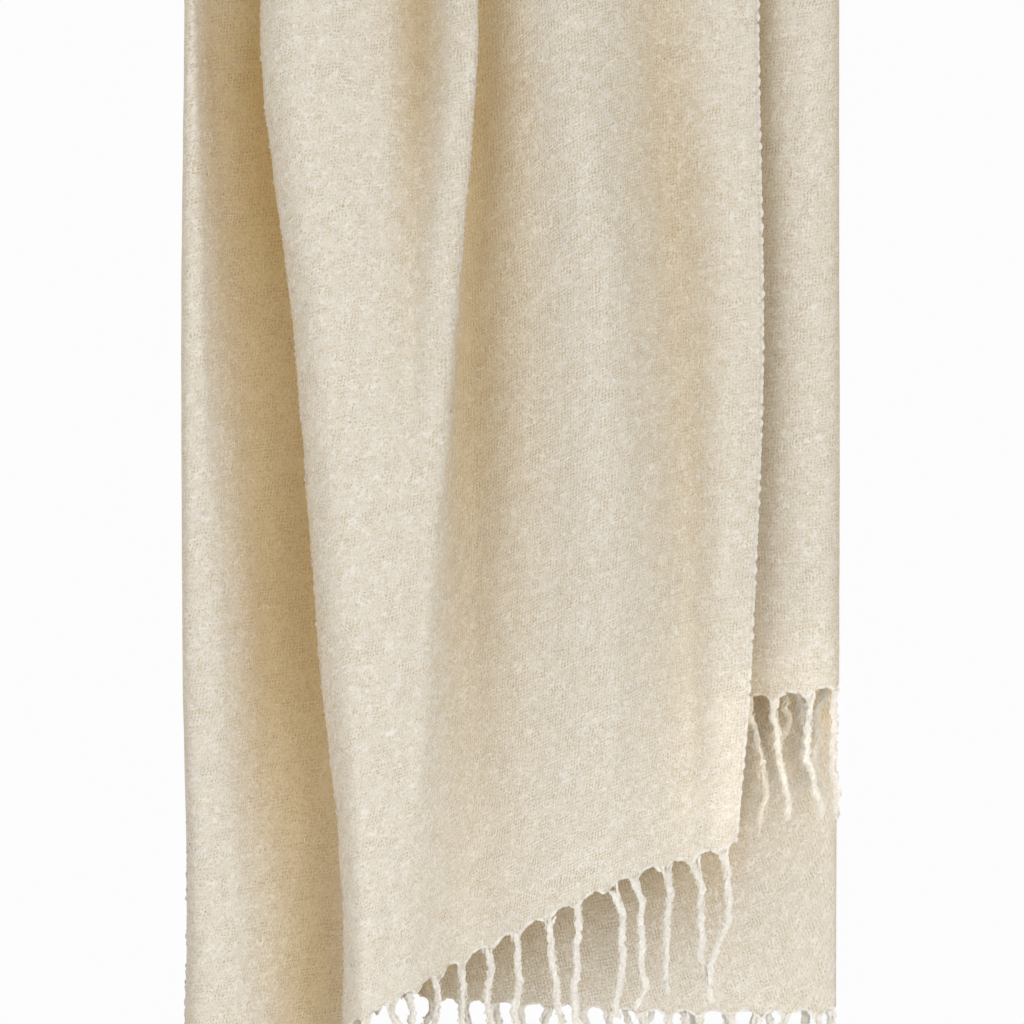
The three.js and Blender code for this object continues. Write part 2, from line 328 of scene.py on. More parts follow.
class Cloth:
    """The cloth's surface with its running lengths, and how it is looked up."""

    def __init__(self):
        points = lay_out_cloth()
        self.u = lengths(points, 1)
        self.v = lengths(points, 0)
        points = self.uneven(points)
        self.points = self.arch_hems(points)
        self.normals = grid_normals(self.points)
        self.rows, self.columns = points.shape[0] - 1, points.shape[1] - 1
        # Painted shade: a warmer, darker tint between the folds, from how deep each place lies
        self.painted_shade = self.find_painted_shade(Shelter(self.points))

    def find_painted_shade(self, shelter):
        """Painted shade on each place: a warmer, darker tint, more between the folds, less where
        light comes in.
        """
        x, y, z = (self.points[..., axis] for axis in range(3))
        in_front, behind = (shelter.beside(self.points, side) for side in (-1, 1))
        strength, contrast = 1.4, 1.7
        # Painted shade grows with how shut in a place is: more at the top, less at the left border
        # and low down right of the dark valley
        painted_shade = strength * np.where(y < 0, in_front, behind) ** contrast
        closer_at_the_top = np.interp(z, (-0.3, -0.1), (1, 1.25))
        open_at_the_left_border = np.interp(x, (-0.2, -0.178), (0.6, 1))
        painted_shade *= closer_at_the_top
        painted_shade *= open_at_the_left_border
        open_below = np.interp(z, (-0.75, -0.35), (0.8, 0))
        past_the_dark_valley = np.clip((x + 0.13) / 0.03, 0, 1)
        painted_shade *= 1 - open_below * past_the_dark_valley
        # Less painted shade on the flanks that face the left lamp
        outside = np.sign(self.normals[..., 1] * y)
        turned_left = np.clip((-self.normals[..., 0] * outside - 0.35) / 0.5, 0, 1)
        painted_shade *= 1 - 0.45 * turned_left
        # On the innermost layer the painted shade falls under and beside the layers in front of it
        inner = (self.u > 0.5 * self.u.max()) & (y > 0) & (y < INNER_DEPTH)
        painted_shade = np.where(inner, shelter.inside(self.points), smooth_grid(painted_shade, 8))
        return smooth_grid(painted_shade, 2)

    def uneven(self, points):
        """Adds the soft unevenness of hanging cloth, less on the layers that lie close."""
        fade = 40 * MM
        loose = np.clip((LOOSE_SHARE * self.u.max() - self.u) / fade, 0.25, 1)
        broad = soft_waves(self.u, self.v * 0.4, 0.11, 9, SEED)
        small = soft_waves(self.u, self.v * 0.6, 0.035, 12, SEED + 1)
        lift = (0.9 * broad + 0.35 * small) * MM * loose
        return points + grid_normals(points) * lift[..., None]

    def arch_hems(self, points):
        """Raises the hem in a low arch between each two strings, and lets the rear hem sag."""
        points = points.copy()
        for edge, inside in ((0, 1), (-1, -1)):
            share = (self.u[edge] / self.u[edge, -1] * STRING_COUNT) % 1
            from_string = np.clip((np.abs(share - 0.5) - 0.09) / 0.41, 0, 1)
            arch = HEM_ARCH * np.sqrt(1 - (1 - from_string) ** 2)
            for depth, part in enumerate((1.0, 0.6, 0.3, 0.1)):
                row = depth if inside == 1 else -1 - depth
                points[row, :, 2] += arch * part
        for depth, part in enumerate((1.0, 0.85, 0.7, 0.55, 0.4, 0.25, 0.1)):
            points[-1 - depth, :, 2] -= REAR_SAG * part
        return points

    def sample(self, row, column):
        """Point, normal, direction across and painted shade at fractional rows and columns."""
        r = np.clip(np.floor(row).astype(int), 0, self.rows - 1)
        c = np.clip(np.floor(column).astype(int), 0, self.columns - 1)
        a, b = (row - r)[:, None], (column - c)[:, None]

        def mix(grid):
            near = grid[r, c] * (1 - b) + grid[r, c + 1] * b
            far = grid[r + 1, c] * (1 - b) + grid[r + 1, c + 1] * b
            return near * (1 - a) + far * a

        normal = mix(self.normals)
        normal /= np.linalg.norm(normal, axis=1, keepdims=True)
        side = self.points[r, c + 1] - self.points[r, c]
        side /= np.linalg.norm(side, axis=1, keepdims=True)
        return mix(self.points), normal, side, self.painted_shade[r, c]


class Shelter:
    """How deep a place lies between folds that stand up beside it, from 0 on a ridge to 1, for the
    painted shade.
    """

    CELL_X = 4 * MM
    CELL_Z = 10 * MM
    REACH_CELLS = 20
    SLACK = 5 * MM  # folds that stand out less than this don't count
    COVER = 15 * MM  # cloth this far in front of a place covers it
    MARGIN = 20 * MM  # of empty cells around the cloth
    EMPTY = -100 * MM  # the height of a cell with no cloth in it

    def __init__(self, points):
        self.low = points.reshape(-1, 3).min(0) - self.MARGIN
        size = points.reshape(-1, 3).max(0) + self.MARGIN - self.low
        self.shape = (int(size[0] / self.CELL_X) + 1, int(size[2] / self.CELL_Z) + 1)
        fine = points
        for axis in (0, 1):
            middles = 0.5 * (np.delete(fine, 0, axis) + np.delete(fine, -1, axis))
            fine = np.concatenate([fine, middles], axis)
        fine = fine.reshape(-1, 3)
        self.front, self.back = self.outline(fine, -1), self.outline(fine, 1)

    def cells(self, places):
        """The column and row of the cell that each place is in."""
        x = ((places[..., 0] - self.low[0]) / self.CELL_X).astype(int).clip(0, self.shape[0] - 1)
        z = ((places[..., 2] - self.low[2]) / self.CELL_Z).astype(int).clip(0, self.shape[1] - 1)
        return x, z

    def outline(self, places, facing):
        """How far the outermost cloth stands out in each cell, seen from one side."""
        height = np.full(self.shape, self.EMPTY)
        np.maximum.at(height, self.cells(places), facing * places[:, 1])
        return height

    def inside(self, places):
        """The painted shade on the innermost layer: deep close below or beside the layers over it,
        and a little everywhere, more higher up.
        """
        above = self.steps_to_cover(places, 0, 1) * self.CELL_Z
        aside = self.steps_to_cover(places, -1, 0) * self.CELL_X
        reach = np.interp(places[..., 2], (-0.4, -0.15), (8, 17)) * MM
        painted_shade = np.maximum(0.7 * np.exp(-above / (35 * MM)), 0.6 * np.exp(-aside / reach))
        return np.maximum(painted_shade, np.interp(places[..., 2], (-0.62, -0.5), (0.05, 0.25)))

    def steps_to_cover(self, places, across, up):
        """How many cells away, going one way, the cloth first hangs well in front of a place."""
        x, z = self.cells(places)
        steps = np.full(places.shape[:-1], float(self.REACH_CELLS))
        for step in range(self.REACH_CELLS - 1, -1, -1):
            cover = self.front[(x + across * step).clip(0, self.shape[0] - 1),
                               (z + up * step).clip(0, self.shape[1] - 1)]
            steps[cover + places[..., 1] > self.COVER] = step
        return steps

    def beside(self, places, facing):
        """How folds to both sides shut places in, on the front (facing -1) or back (1)."""
        height = self.front if facing < 0 else self.back
        x, z = self.cells(places)
        own = facing * places[..., 1] + self.SLACK
        open_sky = np.zeros(places.shape[:-1])
        for side in (-1, 1):
            steepest = np.zeros(places.shape[:-1])
            for step in range(2, self.REACH_CELLS):
                beside = height[(x + side * step).clip(0, self.shape[0] - 1), z]
                steepest = np.maximum(steepest, (beside - own) / (step * self.CELL_X))
            open_sky += 0.5 * (1 - steepest / np.sqrt(1 + steepest ** 2))
        return 1 - open_sky


def object_from_mesh(name, mesh, material, nodes=()):
    """Links a finished mesh, sets its material and tells the frame what it is."""
    piece = bpy.data.objects.new(name, mesh)
    bpy.context.scene.collection.objects.link(piece)
    mesh.materials.append(material)
    mesh.polygons.foreach_set("use_smooth", np.ones(len(mesh.polygons), bool))
    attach(piece, "root")
    if nodes:
        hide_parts(*nodes)
    return piece


def add_painted_shade(mesh, values):
    """Stores each vertex's painted shade, which its material turns into a warmer, darker tint."""
    mesh.attributes.new("painted_shade", "FLOAT", "POINT").data.foreach_set(
        "value", np.asarray(values, np.float32).ravel())


def build_cloth(cloth, material):
    """The woven sheet: a grid whose vertices are moved to the folds, given its thickness."""
    bm = bmesh.new()
    bmesh.ops.create_grid(
        bm, x_segments=cloth.columns, y_segments=cloth.rows, size=0.5, calc_uvs=False)
    bm.verts.ensure_lookup_table()
    flat = np.array([v.co[:2] for v in bm.verts])
    column = np.rint((flat[:, 0] + 0.5) * cloth.columns).astype(int)
    row = np.rint((flat[:, 1] + 0.5) * cloth.rows).astype(int)
    mesh = bpy.data.meshes.new("cloth_sheet")
    bm.to_mesh(mesh)
    bm.free()
    mesh.vertices.foreach_set("co", cloth.points[row, column].astype(np.float32).ravel())
    corner = np.empty(len(mesh.loops), int)
    mesh.loops.foreach_get("vertex_index", corner)
    uv = np.stack([cloth.u[row, column], cloth.v[row, column]], 1)[corner]
    mesh.uv_layers.new(name="weave").data.foreach_set("uv", uv.astype(np.float32).ravel())
    add_painted_shade(mesh, cloth.painted_shade[row, column])
    mesh.update()
    piece = object_from_mesh("cloth_sheet", mesh, material, ["cloth"])
    solid = piece.modifiers.new("thickness", "SOLIDIFY")
    solid.thickness = CLOTH_THICKNESS
    solid.offset = 0
    return piece


def tube_faces(count, rings, sides):
    """The corners of the tubes' faces one after another, and how many each face has."""
    number = np.arange(count * rings * sides).reshape(count, rings, sides)
    low, high = number[:, :-1], number[:, 1:]
    walls = np.stack([low, np.roll(low, -1, 2), np.roll(high, -1, 2), high], -1).reshape(-1, 4)
    ends = np.concatenate([number[:, 0, ::-1], number[:, -1]])
    sizes = np.concatenate([np.full(len(walls), 4), np.full(len(ends), sides)])
    return np.concatenate([walls.ravel(), ends.ravel()]), sizes


def tubes(name, paths, radii, reference, sides, painted_shade, material, nodes=(), nap=None):
    """Many tubes as one joined mesh: paths[tube, ring, 3], and radii and painted shade at each tube's
    rings.

    Each ring's first vertex lies towards the reference direction. The normals lean towards the
    nap, or straight forward or backward where there is none, so that thin yarn shades softly.
    """
    count, rings = radii.shape
    along_path = np.gradient(paths, axis=1)
    along_path /= np.linalg.norm(along_path, axis=2, keepdims=True)
    first = reference - (reference * along_path).sum(2, keepdims=True) * along_path
    first /= np.linalg.norm(first, axis=2, keepdims=True)
    second = np.cross(along_path, first)
    angle = 2 * np.pi * np.arange(sides) / sides
    ring = first[:, :, None] * np.cos(angle)[:, None] + second[:, :, None] * np.sin(angle)[:, None]
    places = paths[:, :, None] + ring * radii[:, :, None, None]
    corners, sizes = tube_faces(count, rings, sides)
    mesh = bpy.data.meshes.new(name)
    mesh.vertices.add(count * rings * sides)
    mesh.vertices.foreach_set("co", places.astype(np.float32).ravel())
    mesh.loops.add(len(corners))
    mesh.loops.foreach_set("vertex_index", corners.astype(np.int32))
    mesh.polygons.add(len(sizes))
    starts = np.cumsum(sizes) - sizes
    mesh.polygons.foreach_set("loop_start", starts.astype(np.int32))
    add_painted_shade(mesh, np.repeat(np.broadcast_to(painted_shade, radii.shape), sides))
    mesh.update(calc_edges=True)
    piece = object_from_mesh(name, mesh, material, nodes)
    if nap is None:
        nap = np.zeros_like(ring)
        nap[..., 1] = 0.6 * np.sign(ring[..., 1])
    normals = ring + nap
    normals /= np.linalg.norm(normals, axis=3, keepdims=True)
    mesh.normals_split_custom_set_from_vertices(normals.reshape(-1, 3).tolist())
    return piece


def string_centres(root, side, seed, swings):
    """The middle of each string from its hem down: centres[string, ring, 3] and the drop shares."""
    rng = np.random.default_rng(seed)
    drop = np.linspace(0, 1, STRING_RINGS)
    depth = np.cross(side, UP)
    length = STRING_LENGTH * rng.uniform(0.92, 1.06, STRING_COUNT)
    sway, push = np.zeros((2, STRING_COUNT, STRING_RINGS))
    for waves, size in STRING_WAVES:
        for target, strength in ((sway, 1.0), (push, 0.55)):
            phase = rng.uniform(0, 2 * np.pi, STRING_COUNT)[:, None]
            many = rng.uniform(0.8, 1.3, STRING_COUNT)[:, None]
            amount = rng.uniform(0.5, 1.2, STRING_COUNT)[:, None] * size * MM * strength
            target += amount * (np.sin(2 * np.pi * waves * many * drop + phase) - np.sin(phase))
    across_by = side[:, None] * sway[..., None]
    for string, swing in swings.items():
        places = np.interp(drop, np.linspace(0, 1, len(swing)), swing) * MM
        across_by[string] = 0.25 * across_by[string]
        across_by[string, :, 0] += smooth_grid(places[:, None], 1)[:, 0]
    centre = root[:, None] + across_by + depth[:, None] * push[..., None]
    centre[..., 2] -= length[:, None] * drop
    return centre, drop, depth


def build_fringe(name, cloth, edge, node, seed, swings, material):
    """The felted strings along one hem: a lumpy core, yarns wound round it, and small curls."""
    rng = np.random.default_rng(seed)
    hem_u = cloth.u[edge]
    at = (np.arange(STRING_COUNT) + 0.5) / STRING_COUNT * hem_u[-1]
    column = np.interp(at, hem_u, np.arange(len(hem_u)))
    row = np.full(STRING_COUNT, float(0 if edge == 0 else cloth.rows))
    root, _, side, painted_shade = cloth.sample(row, column)
    slant = side.copy()
    side[:, 2] = 0
    side /= np.linalg.norm(side, axis=1, keepdims=True)
    centre, drop, depth = string_centres(root, side, seed + 50, swings)
    # The strings carry 0.4 of the painted shade at their hem
    tone = np.broadcast_to(0.4 * painted_shade[:, None], (STRING_COUNT, STRING_RINGS))

    def wave(least, most):
        """A wave down each string, with its own number of turns."""
        turns = rng.uniform(least, most, (STRING_COUNT, 1))
        return np.sin(2 * np.pi * turns * drop + rng.uniform(0, 6.3, (STRING_COUNT, 1)))

    taper = np.clip((1.03 - drop) / 0.07, 0.3, 1)
    lumps = 1 + 0.13 * wave(5, 8) + 0.13 * wave(11, 17) + 0.11 * wave(18, 26)
    out_of_hem = np.clip(drop / 0.05, 0, 1)
    core_radii = (1.5 + 0.5 * out_of_hem) * MM * lumps * taper
    core = tubes(name, centre, core_radii, np.broadcast_to(BACKWARD, centre.shape), 6, tone,
                 material, [node])
    paths, radii = wind_plies(centre, drop, side, slant, depth, taper, wave)
    wound = tubes(name + "_wound", paths, radii, np.broadcast_to(BACKWARD, paths.shape), 3,
                  np.concatenate([tone] * STRING_PLIES), material)
    loops = build_string_curls(name + "_curls", centre, side, depth, tone, seed, material)
    return [core, wound, loops]


def wind_plies(centre, drop, side, slant, depth, taper, wave):
    """Paths and radii of the yarns that fan out at the hem, come together and wind round."""
    gather = np.clip(1 - drop / STRING_GATHER, 0, 1) ** 1.5
    paths, radii = [], []
    for ply in range(STRING_PLIES):
        turn = 2 * np.pi * ((3.2 + 0.9 * ply) * drop + ply / STRING_PLIES) + 0.8 * wave(2, 4)
        away = (1.7 + 0.5 * wave(7, 12)) * MM * (1 - gather)
        fan = 2 * ply / (STRING_PLIES - 1) - 1
        path = centre + slant[:, None] * (fan * 0.19 * STRING_PITCH * gather)[..., None]
        path = path + side[:, None] * (away * np.cos(turn))[..., None]
        path = path + depth[:, None] * (away * np.sin(turn))[..., None]
        path[..., 2] += (1.2 + 3.0 * abs(fan)) * MM * gather
        paths.append(path)
        radii.append((1.1 + 0.3 * wave(9, 15) + 0.25 * wave(17, 26)) * MM * taper)
    return np.concatenate(paths), np.concatenate(radii)


def build_string_curls(name, centre, side, depth, tone, seed, material):
    """The small loops of yarn that stand out all round each string."""
    rng = np.random.default_rng(seed + 90)
    count = STRING_COUNT * CURLS_PER_STRING
    string = np.repeat(np.arange(STRING_COUNT), CURLS_PER_STRING)
    ring = rng.integers(1, STRING_RINGS - 1, count)
    turn = rng.uniform(0, 2 * np.pi, count)[:, None]
    outward = side[string] * np.cos(turn) + depth[string] * np.sin(turn)
    point = centre[string, ring] + outward * CURL_DISTANCE
    down = np.broadcast_to(-UP, point.shape)
    return curl_tubes(name, point, outward, down, tone[string, 0], (0.8, 1.6), 0.2, 0.9, rng,
                      material)


def curl_tubes(name, point, normal, side, painted_shade, sizes, lift, most_lean, rng, material,
               nap=None):
    """Open loops of yarn that rise from a surface, each turned its own way and leaning over.

    Their sizes and lift off the surface are in millimetres, and the lean is in radians.
    """
    count, rings = len(point), 7
    blunt = 0.25  # how far round its half circle each end's taper starts
    other = np.cross(normal, side)
    heading = rng.uniform(0, 2 * np.pi, count)[:, None]
    forward = side * np.cos(heading) + other * np.sin(heading)
    sideways = -side * np.sin(heading) + other * np.cos(heading)
    lean = rng.uniform(0.05, most_lean, count)[:, None]
    upward = sideways * np.cos(lean) + normal * np.sin(lean)
    axis = np.cross(forward, upward)
    radius = rng.uniform(*sizes, count)[:, None] * MM
    sweep = rng.uniform(1.0, 1.85, count)[:, None] * np.pi
    turn = sweep * np.linspace(-0.5, 0.5, rings) + np.pi / 2
    stretch = rng.uniform(0.8, 1.5, count)[:, None]
    ahead = radius * stretch * np.cos(turn)
    aloft = radius * (np.sin(turn) + 0.2)
    paths = (point + normal * lift * MM)[:, None]
    paths = paths + forward[:, None] * ahead[..., None] + upward[:, None] * aloft[..., None]
    thick = (0.3 + 0.13 * radius / MM) * rng.uniform(0.8, 1.25, count)[:, None] * MM
    radii = thick * np.sin(np.linspace(blunt, np.pi - blunt, rings)) ** 0.35
    reference = np.broadcast_to(BACKWARD if nap is None else axis[:, None], paths.shape)
    # The curls carry 0.75 of the painted shade where they stand
    tone = np.broadcast_to(0.75 * painted_shade[:, None], radii.shape)
    return tubes(name, paths, radii, reference, 3, tone, material, nap=nap)


def scatter(cloth, chosen, density, rng):
    """Random rows and columns on the grid cells that chosen weighs, by area."""
    p = cloth.points
    area = np.linalg.norm(np.cross(p[1:, :-1] - p[:-1, :-1], p[:-1, 1:] - p[:-1, :-1]), axis=2)
    weight = (area * chosen).ravel()
    count = int(weight.sum() * density)
    cell = np.searchsorted(np.cumsum(weight), rng.uniform(0, weight.sum(), count))
    row = cell // cloth.columns + rng.uniform(0, 1, count)
    column = cell % cloth.columns + rng.uniform(0, 1, count)
    return row, column


def scatter_curls(cloth, material):
    """Curls where the cloth shows, thickest where a fold turns away and thin down in a valley."""
    rng = np.random.default_rng(SEED + 5)
    x, y, z = (cloth.points[:-1, :-1, i] for i in range(3))
    layer = cloth.u[:-1, :-1] / cloth.u.max()
    panel, inner = layer < MIDDLE_SHARE, layer >= INNER_SHARE
    middle = ~panel & ~inner
    front, back = y < 0, y >= 0
    upper, right = z > -0.42, x > 0.15
    thickness = 1 + 4 * (1 - np.abs(cloth.normals[:-1, :-1, 1]))
    thickness *= np.clip(1 - 1.4 * cloth.painted_shade[:-1, :-1], 0.1, 1)
    # Each kind's least and most radius in millimetres, and how far it leans over
    small, large = (0.6, 1.1, 0.8), (1.0, 2.0, 0.35)
    # Each zone's name, cells, side of the cloth, curls to a square centimetre and their kind
    zones = [
        ("curls_panel_upper", panel & front & upper, -1, 0.8, small),
        ("curls_panel_lower", panel & front & ~upper, -1, 0.8, small),
        ("loops_panel_upper", panel & front & upper, -1, 0.45, large),
        ("loops_panel_lower", panel & front & ~upper, -1, 0.45, large),
        ("curls_right", middle & front & right, -1, 0.8, small),
        ("loops_right", middle & front & right, -1, 0.5, large),
        ("loops_inner", inner & back & (z < -0.54), 1, 0.6, large),
        ("loops_back", panel & back, -1, 0.3, large),
        ("loops_back_low", middle & back & (z < -0.45), -1, 0.4, large),
    ]
    lift = CLOTH_THICKNESS / MM / 2 - 0.1
    pieces = []
    for name, chosen, side_of, per_square_cm, (least, most, most_lean) in zones:
        row, column = scatter(cloth, chosen * thickness, per_square_cm / SQUARE_CM, rng)
        point, normal, side, painted_shade = cloth.sample(row, column)
        normal = normal * side_of
        pieces.append(curl_tubes(name, point, normal, side, painted_shade, (least, most), lift, most_lean,
                                 rng, material, 1.2 * normal[:, None, None]))
    return pieces


def build_edge(name, cloth, edge, seed, material):
    """The felted yarn that closes an edge: "right" and "left" selvedges, "front" and "rear" hems."""
    rng = np.random.default_rng(seed)
    along_warp = edge in ("right", "left")
    if along_warp:
        column = 0 if edge == "right" else cloth.columns
        way = cloth.v[:, column]
    else:
        row = 0 if edge == "front" else cloth.rows
        way = cloth.u[row]
    ring_step = 1.3 * MM
    rings = int(way[-1] / ring_step)
    at = np.linspace(0, way[-1], rings)
    place = np.interp(at, way, np.arange(len(way)))
    fixed = np.full(rings, float(column if along_warp else row))
    point, normal, side, painted_shade = cloth.sample(*((place, fixed) if along_warp else (fixed, place)))
    if along_warp:
        outward = side * (-1 if edge == "right" else 1)
    else:
        outward = np.broadcast_to(-UP, point.shape)

    def wave(length):
        drift = 0.6 * np.sin(2 * np.pi * at / (length * 4.3) + rng.uniform(0, 6.3))
        return np.sin(2 * np.pi * at / length + drift + rng.uniform(0, 6.3))

    swell = wave(9 * MM) * (0.6 + 0.4 * wave(47 * MM))
    path = point + outward * ((0.55 * swell + 0.25 * wave(4.6 * MM) - 0.5) * MM)[:, None]
    radii = (1.62 + 0.22 * swell + 0.12 * wave(3.1 * MM)) * MM
    # The edge yarn carries the painted shade of the cloth it closes
    return tubes(name, path[None], radii[None], normal[None], 6, painted_shade[None], material)


class Pattern:
    """The nodes of a material or the world, with short ways to add the kinds used here."""

    def __init__(self, owner):
        owner.use_nodes = True
        self.nodes = owner.node_tree.nodes
        self.links = owner.node_tree.links

    def add(self, kind, **settings):
        """Adds a node of one kind with its properties set."""
        node = self.nodes.new("ShaderNode" + kind)
        for name, value in settings.items():
            setattr(node, name, value)
        return node

    def feed(self, socket, value):
        """Joins a socket to another node's output, or sets it to a number or a colour."""
        if isinstance(value, bpy.types.NodeSocket):
            self.links.new(value, socket)
        elif isinstance(value, tuple):
            socket.default_value = (*value, 1)
        else:
            socket.default_value = value

    def math(self, operation, first, second=None):
        """The result of one sum on outputs or numbers."""
        node = self.add("Math", operation=operation)
        self.feed(node.inputs[0], first)
        if second is not None:
            self.feed(node.inputs[1], second)
        return node.outputs[0]

    def times(self, first, *others):
        """The product of outputs and numbers."""
        for other in others:
            first = self.math("MULTIPLY", first, other)
        return first

    def plus(self, first, *others):
        """The sum of outputs and numbers."""
        for other in others:
            first = self.math("ADD", first, other)
        return first

    def noise(self, place, scale, detail=2, output="Fac"):
        """An uneven pattern with about this many spots to a metre: its level, or its colour."""
        node = self.add("TexNoise")
        node.inputs["Scale"].default_value = scale
        node.inputs["Detail"].default_value = detail
        self.links.new(place, node.inputs["Vector"])
        return node.outputs[output]

    def ramp(self, value, start, end):
        """A smooth way from 0 at the start to 1 at the end, which may be the lower number."""
        node = self.add("MapRange", interpolation_type="SMOOTHSTEP")
        node.inputs["From Min"].default_value = start
        node.inputs["From Max"].default_value = end
        self.links.new(value, node.inputs["Value"])
        return node.outputs["Result"]

    def blend(self, share, first, second, blend_type="MIX"):
        """The first colour with a share of the second mixed in, or multiplied over it."""
        node = self.add("Mix", data_type="RGBA", blend_type=blend_type)
        self.feed(node.inputs[0], share)
        self.feed(node.inputs[6], first)
        self.feed(node.inputs[7], second)
        return node.outputs[2]

    def split(self, vector):
        """A vector's X, Y and Z."""
        node = self.add("SeparateXYZ")
        self.links.new(vector, node.inputs[0])
        return node.outputs

    def wandering(self, place, wander, reach):
        """Places on the cloth moved this way and that by a noise colour, up to the reach."""
        node = self.add("VectorMath", operation="MULTIPLY_ADD")
        self.links.new(wander, node.inputs[0])
        node.inputs[1].default_value = (reach, reach, 0)
        self.links.new(place, node.inputs[2])
        return node.outputs[0]

    def bump(self, height, strength, distance):
        """A surface normal tilted by a height pattern."""
        node = self.add("Bump")
        node.inputs["Strength"].default_value = strength
        node.inputs["Distance"].default_value = distance
        self.links.new(height, node.inputs["Height"])
        return node.outputs["Normal"]

    def mix_shaders(self, share, first, second, output):
        """Shows a share of the second shader over the first at the material's or world's output."""
        node = self.add("MixShader")
        self.links.new(share, node.inputs[0])
        self.links.new(first.outputs[0], node.inputs[1])
        self.links.new(second.outputs[0], node.inputs[2])
        self.links.new(node.outputs[0], self.nodes[output].inputs["Surface"])

    def camera_rays(self):
        """1 for rays that show a surface itself, straight or in gloss or glass, and 0 for others."""
        rays = self.add("LightPath").outputs
        shown = self.math("MAXIMUM", rays["Is Camera Ray"], rays["Is Glossy Ray"])
        return self.math("MAXIMUM", shown, rays["Is Transmission Ray"])


# The yarn's colours, from its pale loops to the tan between the threads, and the painted shade:
# a warm, darker tint painted down between the folds, where light reaches wool only from other wool
CURL_LIGHT = (0.925, 0.898, 0.84)
YARN_LIGHT = (0.875, 0.852, 0.80)
YARN_MID = (0.82, 0.785, 0.705)
GAP_TAN = (0.66, 0.55, 0.38)
HOLE_TAN = (0.46, 0.33, 0.17)
# Painted shade: the tint multiplied over the wool where it lies deep between the folds
PAINTED_SHADE_TINT = (0.77, 0.60, 0.31)
NO_TINT = (1.0, 1.0, 1.0)


def finish_wool(pattern, colour, normal):
    """Gives the shader its colour and bump, and wool's dull, slightly fuzzy finish."""
    shader = pattern.nodes["Principled BSDF"]
    pattern.links.new(colour, shader.inputs["Base Color"])
    pattern.links.new(normal, shader.inputs["Normal"])
    shader.inputs["Roughness"].default_value = 0.92
    shader.inputs["Specular IOR Level"].default_value = 0.15
    shader.inputs["Sheen Weight"].default_value = 0.2
    shader.inputs["Sheen Roughness"].default_value = 0.6
    shader.inputs["Sheen Tint"].default_value = (1, 0.96, 0.88, 1)


def paint_shade_in_folds(pattern, colour, nap=None):
    """Paints shade into a colour: a warmer, darker tint down between the folds, less where the pale
    nap stands up.
    """
    share = pattern.add("Attribute", attribute_name="painted_shade").outputs["Fac"]
    if nap is not None:
        share = pattern.times(share, pattern.ramp(nap, 3, 0))
    tint = pattern.blend(share, NO_TINT, PAINTED_SHADE_TINT)
    return pattern.blend(1, colour, tint, "MULTIPLY")


def coarseness(pattern):
    """How strong the weave looks: least on the left folds, most on the broad right ridge."""
    across = pattern.split(pattern.add("TexCoord").outputs["Object"])["X"]
    rise = pattern.ramp(across, -0.09, 0.0)
    middle = pattern.times(rise, pattern.ramp(across, 0.13, 0.05))
    return pattern.plus(pattern.times(rise, 0.4), pattern.times(middle, 0.7), 0.42)


def weave_holes(pattern, place, bent):
    """The small dark holes between warp and weft, in the patches where the weave is open."""
    slant = 0.12
    turn = 2 * math.pi / WEAVE_PITCH
    way = pattern.split(bent)
    across = pattern.plus(way["X"], pattern.times(way["Y"], slant))
    warp = pattern.math("COSINE", pattern.times(across, turn))
    weft = pattern.math("COSINE", pattern.times(way["Y"], turn))
    hole = pattern.ramp(pattern.plus(warp, weft), 0.5, 1.7)
    return pattern.times(hole, pattern.ramp(pattern.noise(place, 75), 0.4, 0.6))


def yarn_gaps(pattern, stretched, nub):
    """The narrow dark ways between strands, which the nubs cover."""
    strand = pattern.math("ABSOLUTE", pattern.math("SUBTRACT", pattern.noise(stretched, 430), 0.5))
    return pattern.times(pattern.ramp(strand, 0.02, 0.14), pattern.ramp(nub, 0.3, 0.62))


def knots(pattern, place, wander, coarse):
    """The pale tops of the weave's knots and the dim places between them, where no nap hides them."""
    turn = 2 * math.pi / WEAVE_PITCH
    rows = pattern.split(pattern.wandering(place, wander, 2.7 * MM))
    grain = pattern.plus(*(pattern.math("COSINE", pattern.times(rows[axis], turn)) for axis in "XY"))
    bare = pattern.times(pattern.ramp(pattern.noise(place, 150, 1), 0.4, 0.6), coarse)
    strength = 0.6
    pale = pattern.times(pattern.ramp(grain, 0.2, 1.4), strength, bare)
    dim = pattern.times(pattern.ramp(grain, -0.2, -1.4), strength, bare)
    return pale, dim


def lying_loops(pattern, place, bent):
    """Loops of pale yarn that wind over the weave and break off, fewer where the painted shade
    between the folds is deep.
    """
    winding = pattern.math("SUBTRACT", pattern.noise(bent, 230, 1), 0.5)
    loop = pattern.ramp(pattern.math("ABSOLUTE", winding), 0.055, 0.02)
    broken = pattern.ramp(pattern.noise(place, 130, 1), 0.4, 0.55)
    # Fewer pale loops where the painted shade is deep, which darkens the folds further
    shelter = pattern.add("Attribute", attribute_name="painted_shade").outputs["Fac"]
    return pattern.times(loop, broken, pattern.ramp(shelter, 1.0, 0.25))


